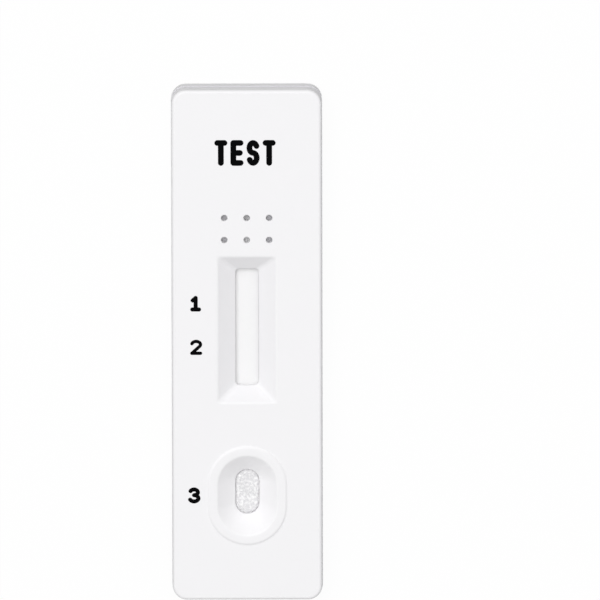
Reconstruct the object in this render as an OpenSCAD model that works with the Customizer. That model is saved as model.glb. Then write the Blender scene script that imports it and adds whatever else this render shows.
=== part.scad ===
// Lateral flow test cassette: two snap-together shells round a laminated test strip.
// Millimetres. The cassette lies on z = 0 with its length along Y; the sample well is towards -Y.

/* [Shells] */
// Length of the cassette
body_l = 70; // [66:0.5:85]
// Width of the cassette
body_w = 20.2; // [18.5:0.1:26]
// Plan radius of the four corners
corner_r = 2; // [1.6:0.1:3]
// Height of the lower shell, up to the parting plane
lower_h = 2.1; // [1.9:0.05:2.6]
// Height of the upper shell, from the parting plane to its flat face
upper_h = 2.2; // [2.1:0.05:3]
// Thickness of the side walls of both shells
wall_t = 1.1; // [0.9:0.05:1.3]
// Thickness of the lower shell's floor
floor_t = 0.7; // [0.55:0.05:0.9]
// Thickness of the upper shell's face
plate_t = 1; // [0.9:0.05:1.3]
// Radius along the top edge
top_edge_r = 0.45; // [0.2:0.05:0.6]
// Radius along the bottom edge
base_edge_r = 0.35; // [0.2:0.05:0.5]
// How far the upper shell stands back from the lower one along its sides
seam_inset = 0.05; // [0.03:0.01:0.2]
// How far the upper shell stands back from the lower one at its ends
end_inset = 0.14; // [0.03:0.01:0.25]
// Chamfer on the lower shell's rim
seam_chamfer = 0.1; // [0.08:0.02:0.3]
// Chamfer on the upper shell's rim
seam_undercut = 0.08; // [0.04:0.02:0.16]
// How far the outer walls of each shell lean in towards its closed face
wall_draft = 0.04; // [0:0.01:0.08]

/* [Closing pins] */
// Diameter of the pins that close the shells
pin_d = 1.6; // [1.2:0.1:1.8]
// Diameter of the shoulder above each pin
pin_shoulder_d = 2.6; // [2.2:0.1:2.8]
// Radial clearance of a pin in its socket
pin_clear = 0.02; // [0.01:0.01:0.05]
// Length of the lead-in cone at a pin's tip
pin_lead = 0.25; // [0.1:0.05:0.3]
// Diameter of the socket bosses
boss_d = 3; // [2.8:0.1:3.2]
// Gap between a boss and the side wall
boss_gap = 0.2; // [0.1:0.05:0.4]
// How far the boss tops stay below the parting plane
boss_drop = 0.1; // [0.05:0.05:0.3]
// Distance of the middle pins from the cassette's centre, along its length
mid_pin_y = 10.8; // [9:0.1:12]
// Thickness of the webs and ribs
rib_t = 0.7; // [0.5:0.05:0.9]

/* [Test strip] */
// Width of the strip
strip_w = 4; // [3.6:0.1:4.4]
// Gap between the strip and its rails
strip_clear = 0.15; // [0.05:0.05:0.3]
// Height of the ribs that carry the strip
rest_h = 0.25; // [0.15:0.05:0.35]
// Thickness of the backing card
card_t = 0.25; // [0.2:0.05:0.3]
// Length of the membrane
membrane_l = 25; // [22:0.5:26]
// Thickness of the membrane
membrane_t = 0.2; // [0.15:0.01:0.25]
// Distance of the membrane's middle from the cassette's centre
membrane_y = 2.5; // [2:0.1:3]
// Overlap of each pad on the piece below it
pad_lap = 2; // [1.5:0.1:2.4]
// Length over which a pad climbs onto the piece below it
pad_ramp = 0.6; // [0.4:0.1:1]
// Gap between the well's lip and the conjugate pad
conjugate_gap = 1; // [0.6:0.1:1.4]
// Thickness of the conjugate pad
conjugate_t = 0.35; // [0.25:0.05:0.4]
// Thickness of the sample pad
sample_t = 0.4; // [0.35:0.05:0.45]
// Gap between the absorbent pad, where it lies on the membrane, and the upper shell's face
absorbent_gap = 0.1; // [0.05:0.05:0.5]

/* [Strip bay] */
// Height of the bay's rails above the backing card
rail_over = 0.12; // [0.05:0.01:0.15]
// Height of the guide posts above the backing card
post_over = 1; // [0.6:0.1:1.2]
// Length of a guide post
post_l = 2.2; // [1.5:0.1:3]
// Width of the cheeks beside the absorbent pad, under the outer vents
cheek_w = 1.4; // [1.2:0.1:2]
// Length of the cheeks
cheek_l = 5.6; // [4.4:0.1:8]
// Gap between the strip's ends and the bay's end walls
end_clear = 0.3; // [0.1:0.1:0.5]
// Room between the bay's end walls and the cassette's own end walls
end_room = 2.9; // [2:0.1:4]
// Number of ribs under the strip between the well's block and the far end
rest_count = 7; // [4:1:9]
// Distance of the outer ribs from the well's block and from the bay's far end
rest_inset = 2; // [1.5:0.1:3]
// Distance of the single rib from the bay's near end
near_rest_inset = 1; // [0.5:0.1:2]
// How far the block under the well reaches past the lip
block_over = 1; // [0.5:0.1:1.2]
// Width of the gate recess in the underside
gate_d = 3; // [2:0.5:4]
// Diameter of the gate's stub
stub_d = 1; // [0.8:0.1:1.5]
// Depth of the gate recess
gate_depth = 0.2; // [0.1:0.05:0.3]

/* [Read window] */
// Length of the window's opening
window_l = 16; // [14:0.05:16.4]
// Width of the window's opening
window_w = 3.16; // [2.8:0.02:3.4]
// Distance of the window's middle from the cassette's centre
window_y = 2.14; // [1.8:0.02:2.5]
// Width of the slopes beside the window
bevel_side = 2.34; // [1.8:0.02:2.6]
// Width of the slopes at the window's ends
bevel_end = 1.96; // [1.8:0.02:2.4]
// Height of the steep edge round the opening
land_h = 0.55; // [0.4:0.05:0.65]
// How far the steep edge leans inward
land_lean = 0.03; // [0.02:0.01:0.2]
// Plan radius of the opening's corners, at its lower edge
window_r = 0.5; // [0.3:0.02:0.7]
// Gap between the window frame and the membrane
window_gap = 0.25; // [0.15:0.05:0.35]
// Thickness of the window frame
frame_t = 0.8; // [0.6:0.05:0.9]
// Radius where the slopes meet the flat face
bevel_edge_r = 0.65; // [0.1:0.05:0.8]

/* [Sample well] */
// Distance of the well's middle from the cassette's centre, towards the sample end
well_y = 20.5; // [20.3:0.1:20.9]
// Width of the well's hole at its upper edge
well_hole_w = 3.28; // [3:0.02:3.4]
// Length of the straight part of the hole and of its rim
well_straight = 2.9; // [2.4:0.1:3]
// Height of the steep edge round the hole
well_land_h = 0.33; // [0.25:0.01:0.4]
// How far the hole's edge leans inward
well_land_lean = 0.04; // [0.02:0.01:0.15]
// Thickness of the lip that presses on the sample pad
well_lip_t = 0.6; // [0.5:0.05:0.7]
// Thickness of the sample pad where the lip pinches it
pinch_t = 0.2; // [0.16:0.02:0.24]
// Distance of the rim's inner edge from the hole's centre line
crest_r = 4.18; // [4.1:0.02:4.4]
// Distance of the rim's foot from the hole's centre line
foot_r = 5.44; // [5.1:0.02:5.6]
// Height of the rim above the flat face
rim_h = 0.18; // [0.1:0.02:0.3]
// Width over which the rim's outer edge eases down to the face
rim_edge_w = 0.44; // [0.3:0.02:0.6]
// Radius on the inner side of the rim
crest_edge_r = 0.4; // [0.15:0.05:0.5]
// Thickness of the funnel's wall, measured level
funnel_t = 1.0; // [0.8:0.05:1.1]

/* [Vents and pressure bars] */
// Diameter of the vent holes
vent_d = 0.86; // [0.6:0.02:1]
// Distance between vent holes, both ways
vent_pitch = 3; // [2.6:0.1:3.2]
// Distance of the vent grid's middle from the cassette's centre
vent_y = 15.9; // [15.6:0.1:16.2]
// Chamfer round each vent hole
vent_chamfer = 0.08; // [0.04:0.02:0.12]
// Number of bars on the absorbent pad
bar_count = 3; // [2:1:4]
// Distance between the bars on the absorbent pad
bar_pitch = 2.8; // [2.4:0.1:3]
// Distance of the first bar from the absorbent pad's far end
bar_inset = 2.2; // [1.6:0.1:2.6]
// How far the bars stay inside the strip's edges
bar_inside = 0.1; // [0.05:0.05:0.3]

/* [Hidden] */
$fn = 64;
arc_steps = 8;
slope_steps = 4;
eps = 0.01;
past = 1;

// Heights
top_z = lower_h + upper_h;
plate_z = top_z - plate_t;
strip_z = floor_t + rest_h;
card_z = strip_z + card_t;
membrane_z = card_z + membrane_t;
sample_z = card_z + sample_t;
absorbent_t = plate_z - absorbent_gap - membrane_z;
absorbent_z = card_z + absorbent_t;
lip_z = card_z + pinch_t;
hole_z = lip_z + well_land_h;
frame_z = membrane_z + window_gap;
land_z = frame_z + land_h;
crest_z = top_z + rim_h;
boss_z = lower_h - boss_drop;

// Plan sizes
inner_l = body_l - 2 * wall_t;
inner_w = body_w - 2 * wall_t;
inner_r = corner_r - wall_t;
valley_r = window_r + land_lean;
pin_inset = wall_t + boss_gap + boss_d / 2;
pin_x = body_w / 2 - pin_inset;
pin_rows = [-(body_l / 2 - pin_inset), -mid_pin_y, mid_pin_y, body_l / 2 - pin_inset];
bay_half = strip_w / 2 + strip_clear;
bay_end = inner_l / 2 - end_room - rib_t;
strip_l = 2 * (bay_end - end_clear);

// The well's slope: a line from the hole's edge that touches the crest's inner radius
hole_r = well_hole_w / 2;
hole_low_r = hole_r - well_land_lean;
lip_r = hole_low_r + well_lip_t;
crest_mid = [crest_r, crest_z - crest_edge_r];
to_crest = crest_mid - [hole_r, hole_z];
slope_a = atan2(to_crest[1], to_crest[0]) + asin(crest_edge_r / norm(to_crest));
lip_half_l = well_straight / 2 + lip_r;
block_half_l = lip_half_l + block_over;
rim_edge_a = 2 * atan(rim_h / rim_edge_w);
rim_edge_r = rim_edge_w / (2 * sin(rim_edge_a));

// Places along the strip, which runs from -strip_l / 2 to strip_l / 2
membrane_lo = membrane_y - membrane_l / 2;
membrane_hi = membrane_y + membrane_l / 2;
conjugate_lo = -well_y + lip_half_l + conjugate_gap;
conjugate_hi = membrane_lo + pad_lap;
sample_hi = conjugate_lo + pad_lap;
absorbent_lo = membrane_hi - pad_lap;
conjugate_bar = (sample_hi + membrane_lo - pad_ramp) / 2;
absorbent_bars = [for (i = [0:bar_count - 1]) strip_l / 2 - bar_inset - i * bar_pitch];
post_rows = [-bay_end + post_l, conjugate_lo + post_l, bay_end - post_l];
rest_lo = -well_y + block_half_l + rest_inset;
rest_pitch = (bay_end - rest_inset - rest_lo) / (rest_count - 1);
rest_rows = concat([-bay_end + near_rest_inset],
                   [for (i = [0:rest_count - 1]) rest_lo + i * rest_pitch]);

shell_white = [0.93, 0.93, 0.94];

// Points of an arc about mid, at angles measured from straight up towards +X
function arc_from_up(mid, r, a0, a1) =
    [for (i = [0:arc_steps]) let (a = a0 + (a1 - a0) * i / arc_steps)
        mid + r * [sin(a), cos(a)]];

function mirrored(points) = [for (i = [len(points) - 1:-1:0]) [-points[i][0], points[i][1]]];

// A quarter disc in the first quadrant
module quarter(r) intersection() {
    circle(r);
    square(r);
}

// Stands a 2D section up so that its x and y become X and Z, and runs it along Y
module along_y(length) translate([0, length / 2, 0]) rotate([90, 0, 0])
    linear_extrude(length) children();

// Stands a 2D section up so that its x and y become Y and Z, and runs it along X
module along_x(length) translate([-length / 2, 0, 0]) rotate([90, 0, 90])
    linear_extrude(length) children();

// Sweeps a section round a rounded rectangle of l by w. The section is drawn outward from the
// corners' centre line, and the middle is filled from z0 to z1.
module sweep_round(l, w, r, z0, z1) {
    cx = w / 2 - r;
    cy = l / 2 - r;
    for (sx = [0, 1], sy = [0, 1]) mirror([sx, 0, 0]) mirror([0, sy, 0])
        translate([cx, cy, 0]) rotate_extrude(angle = 90) children();
    if (cy > eps) for (s = [0, 1]) mirror([s, 0, 0])
        translate([cx, 0, 0]) along_y(2 * cy) children();
    if (cx > eps) for (s = [0, 1]) mirror([0, s, 0])
        translate([0, cy, 0]) along_x(2 * cx) children();
    if (cx > eps && cy > eps) translate([-cx, -cy, z0]) cube([2 * cx, 2 * cy, z1 - z0]);
}

module rounded_prism(l, w, r, z0, z1)
    sweep_round(l, w, r, z0, z1) translate([0, z0]) square([r, z1 - z0]);

module lower_section() {
    rim = corner_r;
    foot = rim - wall_draft;
    polygon([[0, base_edge_r], [foot, base_edge_r], [rim, lower_h - seam_chamfer],
             [rim - seam_chamfer, lower_h], [0, lower_h]]);
    square([foot - base_edge_r, base_edge_r]);
    translate([foot - base_edge_r, base_edge_r]) mirror([0, 1]) quarter(base_edge_r);
}

module upper_section() {
    rim = corner_r - seam_inset;
    shoulder = rim - wall_draft;
    edge_z = top_z - top_edge_r;
    polygon([[0, lower_h], [rim - seam_undercut, lower_h], [rim, lower_h + seam_undercut],
             [shoulder, edge_z], [0, edge_z]]);
    translate([0, edge_z]) square([shoulder - top_edge_r, top_edge_r]);
    translate([shoulder - top_edge_r, edge_z]) quarter(top_edge_r);
}

module at_pins() for (x = [-pin_x, pin_x], y = pin_rows) translate([x, y, 0]) children();

module socket_boss() translate([0, 0, floor_t - eps])
    cylinder(d = boss_d, h = boss_z - floor_t + eps);

// Webs from the bosses to the side walls
module boss_webs() for (s = [-1, 1], y = pin_rows) {
    x_in = pin_x + boss_d / 2 - rib_t / 2;
    x_out = inner_w / 2 + eps;
    translate([s > 0 ? x_in : -x_out, y - rib_t / 2, floor_t - eps])
        cube([x_out - x_in, rib_t, boss_z - floor_t + eps]);
}

// Rest across the bay that carries the strip
module strip_rest(y, length) translate([-bay_half - eps, y - length / 2, floor_t - eps])
    cube([2 * (bay_half + eps), length, strip_z - floor_t + eps]);

module strip_bay() {
    low = floor_t - eps;
    rail_h = card_z + rail_over - low;
    post_h = card_z + post_over - low;
    difference() {
        translate([-bay_half - rib_t, -bay_end - rib_t, low])
            cube([2 * (bay_half + rib_t), 2 * (bay_end + rib_t), rail_h]);
        translate([-bay_half, -bay_end, low - eps])
            cube([2 * bay_half, 2 * bay_end, rail_h + past]);
    }
    for (x = [-bay_half - rib_t, bay_half], y = post_rows)
        translate([x, y - post_l / 2, low]) cube([rib_t, post_l, post_h]);
    for (x = [-bay_half - cheek_w, bay_half])
        translate([x, vent_y - cheek_l / 2, low]) cube([cheek_w, cheek_l, absorbent_z - low]);
    strip_rest(-well_y, 2 * block_half_l);
    for (y = rest_rows) strip_rest(y, rib_t);
}

module lower_shell() color(shell_white) difference() {
    union() {
        difference() {
            sweep_round(body_l, body_w, corner_r, 0, lower_h) lower_section();
            rounded_prism(inner_l, inner_w, inner_r, floor_t, lower_h + past);
        }
        at_pins() socket_boss();
        boss_webs();
        strip_bay();
    }
    at_pins() translate([0, 0, floor_t]) cylinder(d = pin_d + 2 * pin_clear, h = lower_h);
    difference() {
        translate([0, 0, -past]) cylinder(d = gate_d, h = past + gate_depth);
        translate([0, 0, -past]) cylinder(d = stub_d, h = 2 * past);
    }
}

module closing_pin() {
    tip_z = floor_t + pin_clear;
    translate([0, 0, boss_z]) cylinder(d = pin_shoulder_d, h = plate_z - boss_z + eps);
    translate([0, 0, tip_z + pin_lead]) cylinder(d = pin_d, h = boss_z - tip_z - pin_lead + eps);
    translate([0, 0, tip_z]) cylinder(d1 = pin_d - pin_lead, d2 = pin_d, h = pin_lead);
}

// Heights on the read window's recess, each with its share of the slope's full width: the
// opening's edge, then the radius where the slope meets the flat face.
function recess_levels() =
    let (a = atan2(top_z - land_z, bevel_side),
         mid = [bevel_side + bevel_edge_r * tan(a / 2), top_z - bevel_edge_r])
    concat([[0, land_z]], [for (i = [0:slope_steps])
        let (turn = a * (1 - i / slope_steps))
            [(mid[0] - bevel_edge_r * sin(turn)) / bevel_side, mid[1] + bevel_edge_r * cos(turn)]]);

// A thin plate of the recess's outline at one level
module recess_plate(level) {
    x = window_w / 2 + level[0] * bevel_side - valley_r;
    y = window_l / 2 + level[0] * bevel_end - valley_r;
    for (cx = [-x, x], cy = [-y, y]) translate([cx, cy, level[1]])
        cylinder(r = valley_r, h = eps, $fn = 32);
}

module window_recess() {
    levels = recess_levels();
    translate([0, window_y, 0]) for (i = [0:slope_steps]) hull() {
        recess_plate(levels[i]);
        recess_plate(levels[i + 1]);
    }
}

// The steep edge, which leans inward and downward all round the opening. It stands eps outside
// the slopes' lower edge and is cut a little higher, so that it crosses the slopes.
module window_opening() translate([0, window_y, 0]) {
    low_l = window_l - 2 * land_lean;
    low_w = window_w - 2 * land_lean;
    high = land_z + 5 * eps;
    edge_r = function (z) window_r + eps + land_lean * (z - frame_z) / land_h;
    sweep_round(low_l, low_w, window_r, frame_z - eps, high)
        polygon([[0, frame_z - eps], [edge_r(frame_z - eps), frame_z - eps],
                 [edge_r(high), high], [0, high]]);
}

// Underside of the window frame: slopes that follow the recess at the frame's thickness
module frame_section(half, bevel) {
    low_half = half - land_lean + frame_t;
    rise = plate_z + eps - land_z;
    run = rise * bevel / (top_z - land_z);
    points = [[low_half, frame_z], [low_half, land_z - land_h / 2],
              [low_half + run, plate_z + eps]];
    polygon(concat(points, mirrored(points)));
}

module window_frame() translate([0, window_y, 0]) intersection() {
    along_y(body_l) frame_section(window_w / 2, bevel_side);
    along_x(body_w) frame_section(window_l / 2, bevel_end);
}

module around_well(z0, z1) translate([0, -well_y, 0])
    sweep_round(well_straight, 0, 0, z0, z1) children();

// The rim's outer edge: an arc that rounds over and one that eases out onto the face
function rim_edge() =
    let (over = arc_from_up([foot_r - rim_edge_w, crest_z - rim_edge_r], rim_edge_r,
                            0, rim_edge_a),
         out = arc_from_up([foot_r, top_z + rim_edge_r], rim_edge_r, 180 + rim_edge_a, 180))
    concat(over, [for (i = [1:arc_steps]) out[i]]);

// The funnel and its raised rim, filled to the centre line
module well_funnel_section() {
    over = (plate_z - hole_z) / tan(slope_a);
    polygon(concat([[0, crest_z]], rim_edge(),
                   [[foot_r, top_z - plate_t / 2], [hole_r + over + funnel_t, plate_z - eps],
                    [lip_r, hole_z], [lip_r, lip_z], [0, lip_z]]));
}

module well_void_section() {
    drop = well_land_lean / well_land_h * eps;
    crest = arc_from_up(crest_mid, crest_edge_r, -slope_a, 0);
    polygon(concat([[0, lip_z - eps], [hole_low_r - drop, lip_z - eps], [hole_r, hole_z]], crest,
                   [[crest_r, crest_z + past], [0, crest_z + past]]));
}

module vents() for (i = [-1:1], j = [-0.5, 0.5])
    translate([i * vent_pitch, vent_y + j * vent_pitch, 0]) {
        translate([0, 0, plate_z - past]) cylinder(d = vent_d, h = plate_t + 2 * past);
        translate([0, 0, top_z - vent_chamfer])
            cylinder(d1 = vent_d, d2 = vent_d + 4 * vent_chamfer, h = 2 * vent_chamfer);
    }

// Bars under the face that keep the pads pressed together
module pressure_bars() {
    half = strip_w / 2 - bar_inside;
    for (y = absorbent_bars) translate([-half, y - rib_t / 2, absorbent_z])
        cube([2 * half, rib_t, plate_z - absorbent_z + eps]);
    bar_z = card_z + conjugate_t;
    translate([-half, conjugate_bar - rib_t / 2, bar_z])
        cube([2 * half, rib_t, plate_z - bar_z + eps]);
}

module upper_shell() color(shell_white) difference() {
    union() {
        difference() {
            sweep_round(body_l - 2 * end_inset, body_w - 2 * seam_inset, corner_r - seam_inset,
                        lower_h, top_z)
                upper_section();
            rounded_prism(inner_l, inner_w, inner_r, lower_h - past, plate_z);
        }
        window_frame();
        around_well(lip_z, crest_z) well_funnel_section();
        at_pins() closing_pin();
        pressure_bars();
    }
    window_recess();
    window_opening();
    around_well(lip_z, crest_z) well_void_section();
    vents();
}

module backing_card() color([0.95, 0.95, 0.93])
    translate([-strip_w / 2, -strip_l / 2, strip_z]) cube([strip_w, strip_l, card_t]);

module membrane() color([0.98, 0.98, 0.97])
    translate([-strip_w / 2, membrane_lo, card_z]) cube([strip_w, membrane_l, membrane_t]);

// A pad that lies on the card and climbs onto the piece beside it. It runs from y0 to y1, and
// the piece below begins at step and is step_t thick.
module climbing_pad(y0, y1, step, step_t, pad_t) {
    foot = step - sign(y1 - y0) * pad_ramp;
    along_x(strip_w) polygon([
        [y0, card_z], [foot, card_z], [step, card_z + step_t], [y1, card_z + step_t],
        [y1, card_z + step_t + pad_t], [step, card_z + step_t + pad_t],
        [foot, card_z + pad_t], [y0, card_z + pad_t]]);
}

module conjugate_pad() color([0.72, 0.45, 0.52])
    climbing_pad(conjugate_lo, conjugate_hi, membrane_lo, membrane_t, conjugate_t);

module sample_pad() color([0.9, 0.9, 0.89]) difference() {
    climbing_pad(-strip_l / 2, sample_hi, conjugate_lo, conjugate_t, sample_t);
    around_well(lip_z, sample_z + past) translate([hole_low_r, lip_z])
        square([well_lip_t, sample_t + past]);
}

module absorbent_pad() color([0.96, 0.95, 0.91])
    climbing_pad(strip_l / 2, absorbent_lo, membrane_hi, membrane_t, absorbent_t);

lower_shell();
backing_card();
membrane();
conjugate_pad();
sample_pad();
absorbent_pad();
upper_shell();
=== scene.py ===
import math

import bmesh
import bpy
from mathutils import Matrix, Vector, noise


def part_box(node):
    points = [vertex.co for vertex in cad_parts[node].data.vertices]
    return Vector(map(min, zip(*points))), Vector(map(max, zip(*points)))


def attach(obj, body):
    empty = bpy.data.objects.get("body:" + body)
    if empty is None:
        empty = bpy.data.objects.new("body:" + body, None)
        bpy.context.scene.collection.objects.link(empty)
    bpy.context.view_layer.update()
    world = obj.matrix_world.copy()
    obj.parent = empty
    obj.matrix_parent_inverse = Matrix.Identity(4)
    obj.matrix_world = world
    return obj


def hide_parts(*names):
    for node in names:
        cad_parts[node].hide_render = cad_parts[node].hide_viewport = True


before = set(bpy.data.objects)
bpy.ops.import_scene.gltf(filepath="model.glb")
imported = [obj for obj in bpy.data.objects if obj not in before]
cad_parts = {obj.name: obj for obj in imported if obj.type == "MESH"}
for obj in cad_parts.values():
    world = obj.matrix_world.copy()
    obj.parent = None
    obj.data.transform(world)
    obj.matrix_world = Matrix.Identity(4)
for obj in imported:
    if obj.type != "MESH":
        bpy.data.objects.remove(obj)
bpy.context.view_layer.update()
scene = bpy.context.scene
# From the shells on, a length that is not multiplied by MM is in millimetres.
MM = 0.001


# Photograph's view: a long lens almost straight above, tipped towards the end with the
# vents, so that end's wall just shows. The cassette stands left of the middle.
TILT = math.radians(11.7)
ROLL = math.radians(-0.12)
FRAME_WIDTH = 80.2 * MM
SENSOR_WIDTH = 36
LENS_DISTANCE = 3.0
VIEW_CENTRE = Vector((7.1, 6.235, 4.3)) * MM

camera_data = bpy.data.cameras.new("camera")
camera_data.sensor_width = SENSOR_WIDTH
camera_data.lens = SENSOR_WIDTH * LENS_DISTANCE / FRAME_WIDTH
camera = bpy.data.objects.new("camera", camera_data)
camera.location = VIEW_CENTRE + LENS_DISTANCE * Vector((0, math.sin(TILT), math.cos(TILT)))
camera.rotation_mode = "ZYX"
camera.rotation_euler = (-TILT, 0, ROLL)
scene.collection.objects.link(camera)
scene.camera = camera
scene.view_settings.view_transform = "Standard"


# Studio: a pale table, an even white room and one large softbox over the far left corner.
# The table and the room read as white to the camera, and the table keeps a faint shadow. It
# is cut out under the cassette, whose underside then shows in a view from below.
class Wire:
    """A node tree, with one output socket in it. Arithmetic on a wire adds Math nodes, and
    add() adds any other node."""

    def __init__(self, tree, socket=None):
        self.tree = tree
        self.socket = socket

    def add(self, kind, settings=None, out=0, **inputs):
        """A node's output. Its settings are set first, then its inputs by name or, as in in_0,
        by number."""
        node = self.tree.nodes.new(kind)
        for name, value in (settings or {}).items():
            setattr(node, name, value)
        for name, value in inputs.items():
            key = int(name[3:]) if name.startswith("in_") else name.replace("_", " ")
            target = node.inputs[key]
            if isinstance(value, Wire):
                self.tree.links.new(value.socket, target)
            else:
                target.default_value = value
        return Wire(self.tree, node.outputs[out] if node.outputs else None)

    def also(self, out):
        """Another output of the node that this wire comes from."""
        return Wire(self.tree, self.socket.node.outputs[out])

    def maths(self, operation, *values):
        named = {f"in_{place}": value for place, value in enumerate(values)}
        return self.add("ShaderNodeMath", {"operation": operation}, **named)

    def __add__(self, other):
        return self.maths("ADD", self, other)

    def __sub__(self, other):
        return self.maths("SUBTRACT", self, other)

    def __rsub__(self, other):
        return self.maths("SUBTRACT", other, self)

    def __mul__(self, other):
        return self.maths("MULTIPLY", self, other)

    __radd__ = __add__
    __rmul__ = __mul__

    def __abs__(self):
        return self.maths("ABSOLUTE", self)

    def __pow__(self, power):
        return self.maths("POWER", self, power)

    def at_least(self, other):
        return self.maths("MAXIMUM", self, other)

    def between(self, low, high):
        """0 below low and 1 above high, with a smooth step from one to the other."""
        return self.add(
            "ShaderNodeMapRange",
            {"interpolation_type": "SMOOTHSTEP"},
            Value=self,
            From_Min=low,
            From_Max=high,
        )

    def within(self, limit, fade):
        """0 above limit and 1 below it, with a smooth step as wide as fade just below it."""
        return 1 - self.between(limit - fade, limit)


def new_finish(name):
    material = bpy.data.materials.new(name)
    material.use_nodes = True
    material.node_tree.nodes.clear()
    return material, Wire(material.node_tree)


def seen_directly(wire):
    """1 for rays from the camera and for those that mirrors and clear pieces pass on."""
    rays = wire.add("ShaderNodeLightPath", out="Is Camera Ray")
    return rays.at_least(rays.also("Is Glossy Ray")).at_least(rays.also("Is Transmission Ray"))


WHITE = (1, 1, 1, 1)
ROOM_LEVEL = 0.552
room = bpy.data.worlds.new("room")
room.use_nodes = True
room.node_tree.nodes.clear()
air = Wire(room.node_tree)
level = ROOM_LEVEL + (1 - ROOM_LEVEL) * seen_directly(air)
walls = air.add("ShaderNodeBackground", Color=WHITE, Strength=level)
air.add("ShaderNodeOutputWorld", Surface=walls)
scene.world = room

TABLE_HALF = (2.0, 2.0)
TABLE_Z = -0.01 * MM
CUT_HALF = (9.2 * MM, 34.1 * MM)
CORNERS = ((-1, -1), (1, -1), (1, 1), (-1, 1))
TABLE_TO_CASSETTE = (0.2, 0.2, 0.2, 1)
TABLE_IN_SHADOW = (0.98, 0.98, 0.98, 1)
SHADOW_SHARE = 0.06
table_mesh = bpy.data.meshes.new("table")
table_mesh.from_pydata(
    [(x * wide, y * long, TABLE_Z) for wide, long in (TABLE_HALF, CUT_HALF) for x, y in CORNERS],
    [],
    [(i, (i + 1) % 4, (i + 1) % 4 + 4, i + 4) for i in range(4)],
)
table = bpy.data.objects.new("table", table_mesh)
scene.collection.objects.link(table)
table_paper, paper = new_finish("table_paper")
grey = paper.add("ShaderNodeBsdfDiffuse", Color=TABLE_TO_CASSETTE)
pale = paper.add("ShaderNodeBsdfDiffuse", Color=TABLE_IN_SHADOW)
glow = paper.add("ShaderNodeEmission", Color=WHITE, Strength=1.0)
to_camera = paper.add("ShaderNodeMixShader", in_0=SHADOW_SHARE, in_1=glow, in_2=pale)
top = paper.add("ShaderNodeMixShader", in_0=seen_directly(paper), in_1=grey, in_2=to_camera)
paper.add("ShaderNodeOutputMaterial", Surface=top)
table_mesh.materials.append(table_paper)

SOFTBOX_SIZE = 1.9
SOFTBOX_DISTANCE = 2.0
SOFTBOX_POWER = 21.3
SOFTBOX_HEIGHT = math.radians(62)
SOFTBOX_TURN = math.radians(24)
softbox_data = bpy.data.lights.new("softbox", "AREA")
softbox_data.shape = "DISK"
softbox_data.size = SOFTBOX_SIZE
softbox_data.energy = SOFTBOX_POWER
softbox = bpy.data.objects.new("softbox", softbox_data)
towards_box = Vector(
    (
        -math.sin(SOFTBOX_TURN) * math.cos(SOFTBOX_HEIGHT),
        math.cos(SOFTBOX_TURN) * math.cos(SOFTBOX_HEIGHT),
        math.sin(SOFTBOX_HEIGHT),
    )
)
softbox.location = SOFTBOX_DISTANCE * towards_box
softbox.rotation_euler = towards_box.to_track_quat("Z", "Y").to_euler()
scene.collection.objects.link(softbox)


# Shells: two injection mouldings in opaque white polystyrene, pressed together for good.
# The flat outer faces carry the fine grain of a spark-eroded mould, and the window's slopes
# and the well are polished.
WINDOW_Y = 2.14
WINDOW_HALF = (3.92, 9.96)
WINDOW_FADE = 0.15
WELL_Y = -20.5
WELL_STRAIGHT = 1.45
WELL_MOUTH = 4.18
WELL_FADE = 0.2
BASE_FLOOR = 1.0
BASE_FADE = 0.3
HALF_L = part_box("lower_shell")[1].y / MM
LEDGE_Z = 2.07
LEDGE_HALF = 0.13
LEDGE_FADE = 0.07
END_REACH = 2.0
END_FADE = 1.0
STEEP_EDGE_Z = 1.92
STEEP_EDGE_HALF_L = 7.4
STEEP_EDGE_HALF_H = 0.36
STEEP_EDGE_FADE_L = 0.6
STEEP_EDGE_FADE_H = 0.08
RIGHT_OF_MIDDLE = (0.5, 1.0)
VENT_Y = 15.9
CHEEK_TOP = 3.0
CHEEK_HALF = (3.75, 3.0, 0.2)
CHEEK_FADE = (0.2, 0.2, 0.1)

# What the grain and the slow waves of the melt's flow change, the plastic's whiteness, and the
# light and shade painted into its colour at a few places.
NOISE_MIDDLE = 0.5
GRAIN_HEIGHT = 0.006
GRAIN_TONE = 0.012
GRAIN_GLOSS = 0.08
GRAIN_WHERE_POLISHED = 0.25
FLOW_HEIGHT = 0.02
FLOW_TONE = 0.02
FLOW_GLOSS = 0.04
POLISHED_ROUGHNESS = 0.34
GRAINED_ROUGHNESS = 0.12
WHITENESS = 0.884
# Painted light lifts the well's colour, and painted shade greys the window's slopes.
WELL_PAINTED_LIGHT = 0.05
WINDOW_PAINTED_SHADE = 0.045
# Painted shade darkens the ledge at both ends, the window's right-hand steep edge and the cheeks
# under the vents.
LEDGE_PAINTED_SHADE = 0.8
STEEP_EDGE_PAINTED_SHADE = 0.95
CHEEK_PAINTED_SHADE = 0.5
SHELL_GREY = (0.7, 0.69, 0.73)
SHELL_WHITE = (0.981, 0.976, 0.987)
STYRENE_IOR = 1.5

SHARP_EDGE = math.radians(24)
SAME_POINT = 0.0005 * MM
SLIVER = 0.0002 * MM
LARGE_FACES_LEAD = 100


def millimetres(shade):
    """The object's own coordinates in millimetres."""
    place = shade.add("ShaderNodeTexCoord", out="Object")
    return shade.add("ShaderNodeVectorMath", {"operation": "SCALE"}, Vector=place, Scale=1 / MM)


def mottle(place, per_mm, detail=2.0, roughness=0.5):
    """Cloudy noise from 0 to 1, mostly near its middle, with about per_mm clouds in a mm."""
    return place.add(
        "ShaderNodeTexNoise", Vector=place, Scale=per_mm, Detail=detail, Roughness=roughness
    )


def relief(height):
    """The surface's normal, bent by a height in millimetres."""
    return height.add("ShaderNodeBump", Strength=1.0, Distance=MM, Height=height)


def tint(share, dark, light):
    """A colour from dark at 0 to light at 1. A Mix node's colours are its inputs 6 and 7, and
    its output 2."""
    colours = {"in_6": (*dark, 1), "in_7": (*light, 1)}
    return share.add("ShaderNodeMix", {"data_type": "RGBA"}, out=2, Factor=share, **colours)


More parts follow.
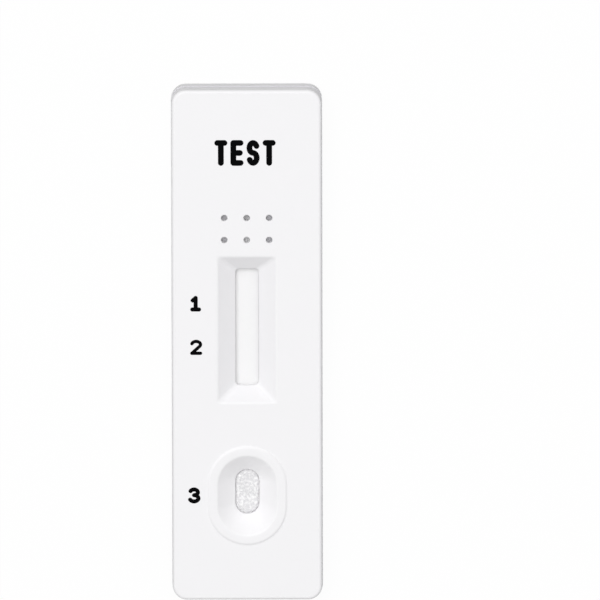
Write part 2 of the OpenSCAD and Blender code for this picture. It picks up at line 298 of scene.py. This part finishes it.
def opaque(shade, **inputs):
    """Closes a finish with one opaque surface."""
    surface = shade.add("ShaderNodeBsdfPrincipled", **inputs)
    shade.add("ShaderNodeOutputMaterial", Surface=surface)


def shell_finish():
    """Painted light makes the well a shade whiter than the face, and painted shade makes the
    window's slopes a shade greyer. Painted shade also darkens the ledge at both ends, the
    window's right-hand steep edge and the cheeks under the vents."""
    finish, shade = new_finish("moulded_white")
    place = millimetres(shade)
    x = place.add("ShaderNodeSeparateXYZ", out="X", Vector=place)
    y = x.also("Y")
    z = x.also("Z")
    above_floor = z.between(BASE_FLOOR, BASE_FLOOR + BASE_FADE)
    along_window = abs(y - WINDOW_Y)
    in_window = (
        abs(x).within(WINDOW_HALF[0], WINDOW_FADE)
        * along_window.within(WINDOW_HALF[1], WINDOW_FADE)
        * above_floor
    )
    past_straight = (abs(y - WELL_Y) - WELL_STRAIGHT).at_least(0)
    from_well = (x * x + past_straight * past_straight) ** 0.5
    in_well = from_well.within(WELL_MOUTH, WELL_FADE) * above_floor
    ledge = abs(z - LEDGE_Z).within(LEDGE_HALF, LEDGE_FADE)
    at_end = (HALF_L - abs(y)).within(END_REACH, END_FADE)
    steep_edge = (
        along_window.within(STEEP_EDGE_HALF_L, STEEP_EDGE_FADE_L)
        * abs(z - STEEP_EDGE_Z).within(STEEP_EDGE_HALF_H, STEEP_EDGE_FADE_H)
        * x.between(*RIGHT_OF_MIDDLE)
        * in_window
    )
    cheeks = (
        abs(x).within(CHEEK_HALF[0], CHEEK_FADE[0])
        * abs(y - VENT_Y).within(CHEEK_HALF[1], CHEEK_FADE[1])
        * abs(z - CHEEK_TOP).within(CHEEK_HALF[2], CHEEK_FADE[2])
    )
    unpolished = (1 - in_window) * (1 - in_well)
    grained = GRAIN_WHERE_POLISHED + (1 - GRAIN_WHERE_POLISHED) * unpolished
    grain = mottle(place, per_mm=11.0, detail=3.0, roughness=0.6)
    flow = mottle(place, per_mm=0.35, detail=1.0)
    roughness = POLISHED_ROUGHNESS + GRAINED_ROUGHNESS * grained
    unevenness = GRAIN_GLOSS * (grain - NOISE_MIDDLE) + FLOW_GLOSS * (flow - NOISE_MIDDLE)
    whiteness = WHITENESS + GRAIN_TONE * grain + FLOW_TONE * flow
    # Painted light in the well and painted shade on the window's slopes.
    whiteness = whiteness + WELL_PAINTED_LIGHT * in_well - WINDOW_PAINTED_SHADE * in_window
    # Painted shade: the colour goes towards SHELL_GREY on the ledge at the ends, the window's
    # right-hand steep edge and the cheeks under the vents.
    painted_shade = LEDGE_PAINTED_SHADE * ledge * at_end
    painted_shade = painted_shade + STEEP_EDGE_PAINTED_SHADE * steep_edge + CHEEK_PAINTED_SHADE * cheeks
    opaque(
        shade,
        Base_Color=tint(whiteness * (1 - painted_shade), SHELL_GREY, SHELL_WHITE),
        Roughness=roughness + unevenness,
        IOR=STYRENE_IOR,
        Normal=relief(grain * grained * GRAIN_HEIGHT + flow * FLOW_HEIGHT),
    )
    return finish


def moulded_copy(node, finish):
    """The CAD node's mesh with its triangles joined, and smooth wherever no edge is sharp."""
    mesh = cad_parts[node].data.copy()
    mesh.name = node + "_moulding"
    joined = bmesh.new()
    joined.from_mesh(mesh)
    bmesh.ops.remove_doubles(joined, verts=joined.verts, dist=SAME_POINT)
    bmesh.ops.dissolve_degenerate(joined, edges=joined.edges, dist=SLIVER)
    for face in joined.faces:
        face.smooth = True
    for edge in joined.edges:
        edge.smooth = edge.calc_face_angle(math.pi) < SHARP_EDGE
    joined.to_mesh(mesh)
    joined.free()
    mesh.materials.clear()
    mesh.materials.append(finish)
    piece = bpy.data.objects.new(node + "_moulding", mesh)
    scene.collection.objects.link(piece)
    weighted = piece.modifiers.new("face_normals", "WEIGHTED_NORMAL")
    weighted.keep_sharp = True
    weighted.weight = LARGE_FACES_LEAD
    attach(piece, "root")
    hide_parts(node)


moulded_white = shell_finish()
for shell in ("upper_shell", "lower_shell"):
    moulded_copy(shell, moulded_white)


# Backing card: a strip of white polystyrene film that the membrane and pads are stuck to.
# It stays as the CAD made it, with the slight orange peel of calendered film.
CARD_WHITE = (0.84, 0.84, 0.8, 1)
CARD_ROUGHNESS = 0.35
PEEL_GLOSS = 0.1
PEEL_HEIGHT = 0.01


def card_finish():
    finish, shade = new_finish("calendered_card")
    peel = mottle(millimetres(shade), per_mm=4.0)
    opaque(
        shade,
        Base_Color=CARD_WHITE,
        Roughness=CARD_ROUGHNESS + PEEL_GLOSS * peel,
        IOR=STYRENE_IOR,
        Normal=relief(peel * PEEL_HEIGHT),
    )
    return finish


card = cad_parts["backing_card"]
card.data.materials.clear()
card.data.materials.append(card_finish())
card_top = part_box("backing_card")[1].z / MM


# Membrane: cast nitrocellulose, dead white and very smooth, slit from a roll and stuck to the
# card. Its cut edges are a little rounded.
PORE_HEIGHT = 0.004
PORE_TONE = 0.04
PORE_GLOSS = 0.1
CLOUD_TONE = 0.06
MEMBRANE_WHITENESS = 0.9
MEMBRANE_ROUGHNESS = 0.75
MEMBRANE_GREY = (0.7, 0.7, 0.7)
MEMBRANE_WHITE = (0.97, 0.969, 0.972)
NITROCELLULOSE_IOR = 1.38
LUMP_FALL = 0.8
LUMP_STEP = 2.1
LUMP_SIZES = 3


def soft_slab(name, node, base, top, step, edge_r, lump_height, lump_size, finish, seed=0):
    """A closed slab over a CAD node's footprint. base and top give its heights at x, y. Its
    upper surface has shallow hollows between its lumps, and its upper edges are round."""
    low, high = (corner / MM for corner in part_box(node))
    wide = round((high.x - low.x) / step)
    long = round((high.y - low.y) / step)
    across = [low.x + (high.x - low.x) * i / wide for i in range(wide + 1)]
    along = [low.y + (high.y - low.y) * j / long for j in range(long + 1)]

    def upper(x, y):
        to_edge = min(x - low.x, high.x - x, y - low.y, high.y - y)
        drop = 0
        if to_edge < edge_r:
            drop = edge_r - math.sqrt(edge_r**2 - (edge_r - to_edge) ** 2)
        spot = Vector((x, y, seed)) / lump_size
        lump = noise.fractal(spot, LUMP_FALL, LUMP_STEP, LUMP_SIZES) * lump_height
        return top(x, y) - drop - abs(lump)

    rows = [[(x, y, upper(x, y)) for x in across] for y in along]
    rows_below = [[(x, y, base(x, y)) for x in across] for y in along]
    points = [Vector(p) * MM for row in rows + rows_below for p in row]
    count = wide + 1
    below = count * (long + 1)
    faces = []
    for j in range(long):
        for i in range(wide):
            a = j * count + i
            faces.append((a, a + 1, a + count + 1, a + count))
            faces.append((a + below, a + count + below, a + count + 1 + below, a + 1 + below))
    rim = list(range(wide)) + [wide + j * count for j in range(long)]
    rim += [long * count + i for i in range(wide, 0, -1)] + [j * count for j in range(long, 0, -1)]
    for a, b in zip(rim, rim[1:] + rim[:1]):
        faces.append((b, a, a + below, b + below))
    mesh = bpy.data.meshes.new(name)
    mesh.from_pydata(points, [], faces)
    mesh.shade_smooth()
    mesh.materials.append(finish)
    piece = bpy.data.objects.new(name, mesh)
    scene.collection.objects.link(piece)
    return piece


def seat(piece, node):
    """The piece stands for one CAD node: it joins the root body, and the node is hidden."""
    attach(piece, "root")
    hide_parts(node)


def membrane_finish():
    finish, shade = new_finish("nitrocellulose")
    place = millimetres(shade)
    pores = mottle(place, per_mm=18.0, detail=3.0)
    cloud = mottle(place, per_mm=0.8)
    whiteness = MEMBRANE_WHITENESS + CLOUD_TONE * cloud + PORE_TONE * pores
    opaque(
        shade,
        Base_Color=tint(whiteness, MEMBRANE_GREY, MEMBRANE_WHITE),
        Roughness=MEMBRANE_ROUGHNESS + PORE_GLOSS * pores,
        IOR=NITROCELLULOSE_IOR,
        Normal=relief(pores * PORE_HEIGHT),
    )
    return finish


membrane_low, membrane_high = (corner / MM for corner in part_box("membrane"))
membrane = soft_slab(
    "membrane_sheet",
    "membrane",
    lambda x, y: card_top,
    lambda x, y: membrane_high.z,
    step=0.1,
    edge_r=0.05,
    lump_height=0.004,
    lump_size=0.9,
    finish=membrane_finish(),
)
seat(membrane, "membrane")


# Conjugate pad: glass fibre with the dried pink conjugate in it. It climbs onto the membrane
# at one end and lies under the sample pad at the other, out of sight.
PAD_RAMP = 0.6
WEB_STEP = (0.4, 0.68)
WEB_HEIGHT = 0.05
WEB_TONE = 0.85
WEB_CLOUD_TONE = 0.15
WEB_ROUGHNESS = 0.7
WEB_GLOSS = 0.3
GLASS_FIBRE_IOR = 1.52


def climb(y, step_y, inward, rise):
    """How far a pad has climbed at y onto the piece that begins at step_y, inward along y."""
    share = ((y - step_y) * inward + PAD_RAMP) / PAD_RAMP
    return rise * min(1.0, max(0.0, share))


def fibre_finish(name, light, dark, flecks_per_mm):
    finish, shade = new_finish(name)
    place = millimetres(shade)
    web = mottle(place, flecks_per_mm, detail=1.0).between(*WEB_STEP)
    cloud = mottle(place, per_mm=1.1)
    opaque(
        shade,
        Base_Color=tint(WEB_TONE * web + WEB_CLOUD_TONE * cloud, dark, light),
        Roughness=WEB_ROUGHNESS - WEB_GLOSS * web,
        IOR=GLASS_FIBRE_IOR,
        Normal=relief(web * WEB_HEIGHT),
    )
    return finish


conjugate_low, conjugate_high = (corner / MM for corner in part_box("conjugate_pad"))
conjugate_rise = membrane_high.z - card_top
conjugate_t = conjugate_high.z - membrane_high.z


def conjugate_base(x, y):
    return card_top + climb(y, membrane_low.y, 1, conjugate_rise)


conjugate = soft_slab(
    "conjugate_wadding",
    "conjugate_pad",
    conjugate_base,
    lambda x, y: conjugate_base(x, y) + conjugate_t,
    step=0.1,
    edge_r=0.1,
    lump_height=0.02,
    lump_size=0.3,
    finish=fibre_finish(
        "dyed_glass_fibre", light=(0.66, 0.3, 0.38), dark=(0.4, 0.12, 0.2), flecks_per_mm=2.5
    ),
    seed=1,
)
seat(conjugate, "conjugate_pad")


# Sample pad: a loose web of glass and cellulose fibre. The well's lip presses a groove into
# it, the pad swells up inside the hole, and single fibres lie about on its surface.
sample_rise = conjugate_t
sample_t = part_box("sample_pad")[1].z / MM - card_top - sample_rise
LIP_INNER = 1.6
LIP_OUTER = 2.2
LIP_UNDERSIDE = 1.4
PRESS_DEPTH = 0.1
SWELL = 0.45


def sample_base(x, y):
    return card_top + climb(y, conjugate_low.y, 1, sample_rise)


def sample_top(x, y):
    """The free surface, sunk into a groove below the lip and easing up on both sides of it."""
    free = sample_base(x, y) + sample_t
    pressed = LIP_UNDERSIDE - PRESS_DEPTH
    out = math.hypot(x, max(abs(y - WELL_Y) - WELL_STRAIGHT, 0))
    beside = max(LIP_INNER - out, out - LIP_OUTER, 0) / SWELL
    ease = math.sin(min(beside, 1.0) * math.pi / 2)
    return pressed + (free - pressed) * ease


sample = soft_slab(
    "sample_wadding",
    "sample_pad",
    sample_base,
    sample_top,
    step=0.055,
    edge_r=0.1,
    lump_height=0.05,
    lump_size=0.4,
    finish=fibre_finish(
        "sample_web", light=(1.0, 0.995, 1.0), dark=(0.75, 0.745, 0.76), flecks_per_mm=2.9
    ),
    seed=2,
)
seat(sample, "sample_pad")

UPPER_SIDE = 0.5
STRAND_POINTS = 8
STRAND_SIDES = 4
STRAND_SHARE = (0.5, 1.2)
BENDS_PER_M = 900.0
RAY_HEIGHT = 10 * MM
RAY_LENGTH = 20 * MM
CLOUD_STEP = (0.3, 0.7)
STRAND_ROUGHNESS = 0.5
STRAND_GLOSS = 0.2
STRAND_IOR = 1.5


def fibre_tree(finish):
    """Scatters curled strands over a pad's upper side, lays them on it and gives them a
    thickness. What reaches past the pad's edge is dropped."""
    tree = bpy.data.node_groups.new("loose_fibres", "GeometryNodeTree")
    tree.interface.new_socket("Geometry", in_out="INPUT", socket_type="NodeSocketGeometry")
    sizes = {}
    for name in ("Strands per m2", "Length", "Radius", "Curl", "Seed"):
        kind = "NodeSocketInt" if name == "Seed" else "NodeSocketFloat"
        socket = tree.interface.new_socket(name, in_out="INPUT", socket_type=kind)
        sizes[name] = socket.identifier
    tree.interface.new_socket("Geometry", in_out="OUTPUT", socket_type="NodeSocketGeometry")

    pad = Wire(tree).add("NodeGroupInput", out="Geometry")
    radius = pad.also("Radius")
    seed = pad.also("Seed")
    normal = pad.add("GeometryNodeInputNormal")
    facing_up = pad.add(
        "FunctionNodeCompare",
        {"operation": "GREATER_THAN"},
        in_0=pad.add("ShaderNodeSeparateXYZ", out="Z", Vector=normal),
        in_1=UPPER_SIDE,
    )
    points = pad.add(
        "GeometryNodeDistributePointsOnFaces",
        Mesh=pad,
        Selection=facing_up,
        Density=pad.also("Strands per m2"),
        Seed=seed,
    )
    line = pad.add(
        "GeometryNodeCurvePrimitiveLine",
        {"mode": "DIRECTION"},
        Direction=(1, 0, 0),
        Length=pad.also("Length"),
    )

    def random_between(low, high):
        plain = {"data_type": "FLOAT"}
        return pad.add("FunctionNodeRandomValue", plain, out=1, in_2=low, in_3=high, Seed=seed)

    laid = pad.add(
        "GeometryNodeInstanceOnPoints",
        Points=points,
        Instance=pad.add("GeometryNodeResampleCurve", Curve=line, Count=STRAND_POINTS),
        Rotation=pad.add("ShaderNodeCombineXYZ", Z=random_between(0, math.tau)),
        Scale=random_between(*STRAND_SHARE),
    )
    place = pad.add("GeometryNodeInputPosition")
    number = pad.add("GeometryNodeInputIndex")
    bends = pad.add(
        "ShaderNodeTexNoise",
        {"noise_dimensions": "4D"},
        out="Color",
        Vector=place,
        W=number.maths("FLOOR", number.maths("DIVIDE", number, STRAND_POINTS)),
        Scale=BENDS_PER_M,
    )
    either_way = pad.add(
        "ShaderNodeVectorMath",
        {"operation": "SUBTRACT"},
        in_0=bends,
        in_1=(NOISE_MIDDLE, NOISE_MIDDLE, NOISE_MIDDLE),
    )
    curled = pad.add(
        "GeometryNodeSetPosition",
        Geometry=pad.add("GeometryNodeRealizeInstances", Geometry=laid),
        Offset=pad.add(
            "ShaderNodeVectorMath",
            {"operation": "SCALE"},
            in_0=either_way,
            Scale=pad.also("Curl"),
        ),
    )
    x = pad.add("ShaderNodeSeparateXYZ", out="X", Vector=place)
    hit = pad.add(
        "GeometryNodeRaycast",
        {"data_type": "FLOAT"},
        out="Is Hit",
        Target_Geometry=pad,
        Source_Position=pad.add("ShaderNodeCombineXYZ", X=x, Y=x.also("Y"), Z=RAY_HEIGHT),
        Ray_Direction=(0, 0, -1),
        Ray_Length=RAY_LENGTH,
    )
    over_pad = pad.add(
        "GeometryNodeDeleteGeometry",
        {"domain": "POINT"},
        Geometry=curled,
        Selection=pad.add("FunctionNodeBooleanMath", {"operation": "NOT"}, in_0=hit),
    )
    on_top = pad.add(
        "ShaderNodeVectorMath",
        {"operation": "ADD"},
        in_0=pad.add("ShaderNodeCombineXYZ", Z=radius),
        in_1=hit.also("Hit Position"),
    )
    draped = pad.add("GeometryNodeSetPosition", Geometry=over_pad, Position=on_top)
    single_point = pad.add(
        "FunctionNodeCompare",
        {"data_type": "INT", "operation": "LESS_THAN"},
        in_2=pad.add("GeometryNodeSplineLength", out="Point Count"),
        in_3=2,
    )
    strands = pad.add(
        "GeometryNodeDeleteGeometry",
        {"domain": "CURVE"},
        Geometry=draped,
        Selection=single_point,
    )
    tubes = pad.add(
        "GeometryNodeCurveToMesh",
        Curve=strands,
        Profile_Curve=pad.add(
            "GeometryNodeCurvePrimitiveCircle", Resolution=STRAND_SIDES, Radius=radius
        ),
        Fill_Caps=True,
    )
    dressed = pad.add("GeometryNodeSetMaterial", Geometry=tubes, Material=finish)
    pad.add("NodeGroupOutput", in_0=dressed)
    return tree, sizes


def loose_fibres(name, pad, finish, per_mm2, length, radius, curl, seed):
    """Fibres over one pad, as a plain mesh of their own."""
    tree, sizes = fibre_tree(finish)
    piece = bpy.data.objects.new(name, pad.data.copy())
    scene.collection.objects.link(piece)
    modifier = piece.modifiers.new("fibres", "NODES")
    modifier.node_group = tree
    modifier[sizes["Strands per m2"]] = per_mm2 / MM**2
    modifier[sizes["Length"]] = length * MM
    modifier[sizes["Radius"]] = radius * MM
    modifier[sizes["Curl"]] = curl * MM
    modifier[sizes["Seed"]] = seed
    bpy.context.view_layer.update()
    made = bpy.data.meshes.new_from_object(
        piece.evaluated_get(bpy.context.evaluated_depsgraph_get())
    )
    piece.modifiers.clear()
    piece.data = made
    return piece


def strand_finish():
    finish, shade = new_finish("loose_fibre")
    cloud = mottle(millimetres(shade), per_mm=3.0)
    opaque(
        shade,
        Base_Color=tint(cloud.between(*CLOUD_STEP), dark=(0.93, 0.93, 0.94), light=(1, 1, 1)),
        Roughness=STRAND_ROUGHNESS + STRAND_GLOSS * cloud,
        IOR=STRAND_IOR,
    )
    return finish


fibres = loose_fibres(
    "sample_fibres", sample, strand_finish(), per_mm2=3, length=1.2, radius=0.026, curl=0.5, seed=7
)
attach(fibres, "root")


# Absorbent pad: thick soft cellulose that draws the liquid along. It is stuck to the card,
# climbs onto the membrane's end and is squeezed there, and it shows through the vents.
SQUEEZE = 0.5
absorbent_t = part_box("absorbent_pad")[1].z / MM - membrane_high.z


def absorbent_climb(y):
    return climb(y, membrane_high.y, -1, membrane_high.z - card_top)


def absorbent_base(x, y):
    return card_top + absorbent_climb(y)


def absorbent_top(x, y):
    """The pad gives where it lies over the membrane's end, so its top climbs less."""
    return card_top + absorbent_t + (1 - SQUEEZE) * absorbent_climb(y)


absorbent = soft_slab(
    "absorbent_wadding",
    "absorbent_pad",
    absorbent_base,
    absorbent_top,
    step=0.09,
    edge_r=0.2,
    lump_height=0.05,
    lump_size=0.4,
    finish=fibre_finish(
        "cellulose_wadding", light=(0.97, 0.97, 0.97), dark=(0.9, 0.9, 0.905), flecks_per_mm=2.0
    ),
    seed=5,
)
seat(absorbent, "absorbent_pad")


# Print: black pad-printed marks on the cover, 12 microns proud of it. Plain numbers stand beside
# the read window and the well, and a plain word fills the heading's place.
FACE_Z = 4.3
INK_HEIGHT = 0.012
INK_SINK = 0.001
INK_GRID = 0.035
SNAP_OUTSIDE = 0.35 * INK_GRID
SNAP_INSIDE = 0.65 * INK_GRID
WOBBLE = 0.03
WOBBLES_PER_MM = 5
INK_BLACK = (0.0008, 0.0008, 0.001)
INK_THIN = (0.003, 0.003, 0.0035)
DENSITY_TONE = 0.5
PIN_HOLE_TONE = 0.5
PIN_HOLE_HEIGHT = 0.004
PIN_HOLE_GLOSS = 0.15
INK_ROUGHNESS = 0.6
INK_SPECULAR = 0.03
INK_IOR = 1.4


def arc(cx, cy, rx, ry, start, end, steps=16):
    turns = (math.radians(start + (end - start) * i / steps) for i in range(steps + 1))
    return [(cx + rx * math.cos(a), cy + ry * math.sin(a)) for a in turns]


def strokes(shape, w, h):
    """Centre lines of a letter or number that is w wide and h high between those lines."""
    x, y = w / 2, h / 2
    if shape == "T":
        return [[(-x, y), (x, y)], [(0, y), (0, -y)]]
    if shape == "E":
        bars = [[(-x, at), (end, at)] for at, end in ((y, x), (0, 0.8 * x), (-y, x))]
        return [[(-x, y), (-x, -y)]] + bars
    if shape == "S":
        top = arc(0, y / 2, x, y / 2, 22, 270)
        return [top + arc(0, -y / 2, x, y / 2, 90, -158)[1:]]
    if shape == "1":
        return [[(-0.8 * x, 0.55 * y), (0, y), (0, -y)], [(-0.9 * x, -y), (0.9 * x, -y)]]
    if shape == "2":
        return [arc(0, 0.48 * y, x, 0.52 * y, 165, -35) + [(-x, -y), (x, -y)]]
    top = arc(0, 0.52 * y, 0.88 * x, 0.48 * y, 155, -90)
    return [top + arc(0, -0.48 * y, x, 0.52 * y, 90, -155)[1:]]


def to_stroke(x, y, lines):
    """Distance from a point to the nearest centre line, and the nearest point on it."""
    best = (math.inf, 0, 0)
    for line in lines:
        for (ax, ay), (bx, by) in zip(line, line[1:]):
            dx, dy = bx - ax, by - ay
            share = ((x - ax) * dx + (y - ay) * dy) / (dx * dx + dy * dy)
            share = min(1.0, max(0.0, share))
            px, py = ax + share * dx, ay + share * dy
            best = min(best, (math.hypot(x - px, y - py), px, py))
    return best


def ink_mark(name, text, centre, width, height, stroke, gap, finish):
    """Each letter is every grid cell within half a stroke of its lines, with the cells' outer
    corners moved onto the true outline, so strokes meet cleanly and their ends are round."""
    mark = bmesh.new()
    half = stroke / 2
    cell = (width - gap * (len(text) - 1)) / len(text)
    for place, shape in enumerate(text):
        middle = centre[0] - width / 2 + cell / 2 + place * (cell + gap)
        lines = strokes(shape, cell - stroke, height - stroke)
        across = math.ceil(cell / INK_GRID / 2) + 1
        up = math.ceil(height / INK_GRID / 2) + 1
        inside = {}
        for i in range(-across, across + 1):
            for j in range(-up, up + 1):
                x, y = i * INK_GRID, j * INK_GRID
                far, px, py = to_stroke(x, y, lines)
                if far < half + SNAP_OUTSIDE:
                    if far > half - SNAP_INSIDE:
                        spot = Vector((x * WOBBLES_PER_MM, y * WOBBLES_PER_MM, place))
                        edge = half * (1 + WOBBLE * noise.noise(spot))
                        x = px + (x - px) * edge / far
                        y = py + (y - py) * edge / far
                    inside[i, j] = mark.verts.new(
                        Vector((middle + x, centre[1] + y, FACE_Z - INK_SINK)) * MM
                    )
        for i, j in inside:
            ring = [inside.get(at) for at in ((i, j), (i + 1, j), (i + 1, j + 1), (i, j + 1))]
            if all(ring):
                mark.faces.new(ring)
    loose = [corner for corner in mark.verts if not corner.link_faces]
    bmesh.ops.delete(mark, geom=loose, context="VERTS")
    grown = bmesh.ops.extrude_face_region(mark, geom=list(mark.faces))
    raised = [item for item in grown["geom"] if isinstance(item, bmesh.types.BMVert)]
    bmesh.ops.translate(mark, verts=raised, vec=(0, 0, (INK_HEIGHT + INK_SINK) * MM))
    bmesh.ops.recalc_face_normals(mark, faces=mark.faces)
    mesh = bpy.data.meshes.new(name)
    mark.to_mesh(mesh)
    mark.free()
    mesh.materials.append(finish)
    piece = bpy.data.objects.new(name, mesh)
    scene.collection.objects.link(piece)
    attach(piece, "root")


def ink_finish():
    finish, shade = new_finish("black_ink")
    place = millimetres(shade)
    pin_holes = mottle(place, per_mm=9.0, detail=3.0)
    density = mottle(place, per_mm=1.2)
    thinness = DENSITY_TONE * density + PIN_HOLE_TONE * pin_holes
    opaque(
        shade,
        Base_Color=tint(thinness, INK_BLACK, INK_THIN),
        Roughness=INK_ROUGHNESS + PIN_HOLE_GLOSS * pin_holes,
        IOR=INK_IOR,
        Specular_IOR_Level=INK_SPECULAR,
        Normal=relief(pin_holes * PIN_HOLE_HEIGHT),
    )
    return finish


black_ink = ink_finish()
for name, text, centre, width, height, stroke, gap in (
    ("mark_first_line", "1", (-6.85, 5.76), 1.56, 2.14, 0.56, 0),
    ("mark_second_line", "2", (-6.8, -0.2), 1.62, 2.08, 0.46, 0),
    ("mark_well", "3", (-7.14, -20.46), 1.72, 2.2, 0.56, 0),
    ("mark_heading", "TEST", (-0.2, 26.3), 8.2, 3.5, 0.78, 0.4),
):
    ink_mark(name, text, centre, width, height, stroke, gap, black_ink)
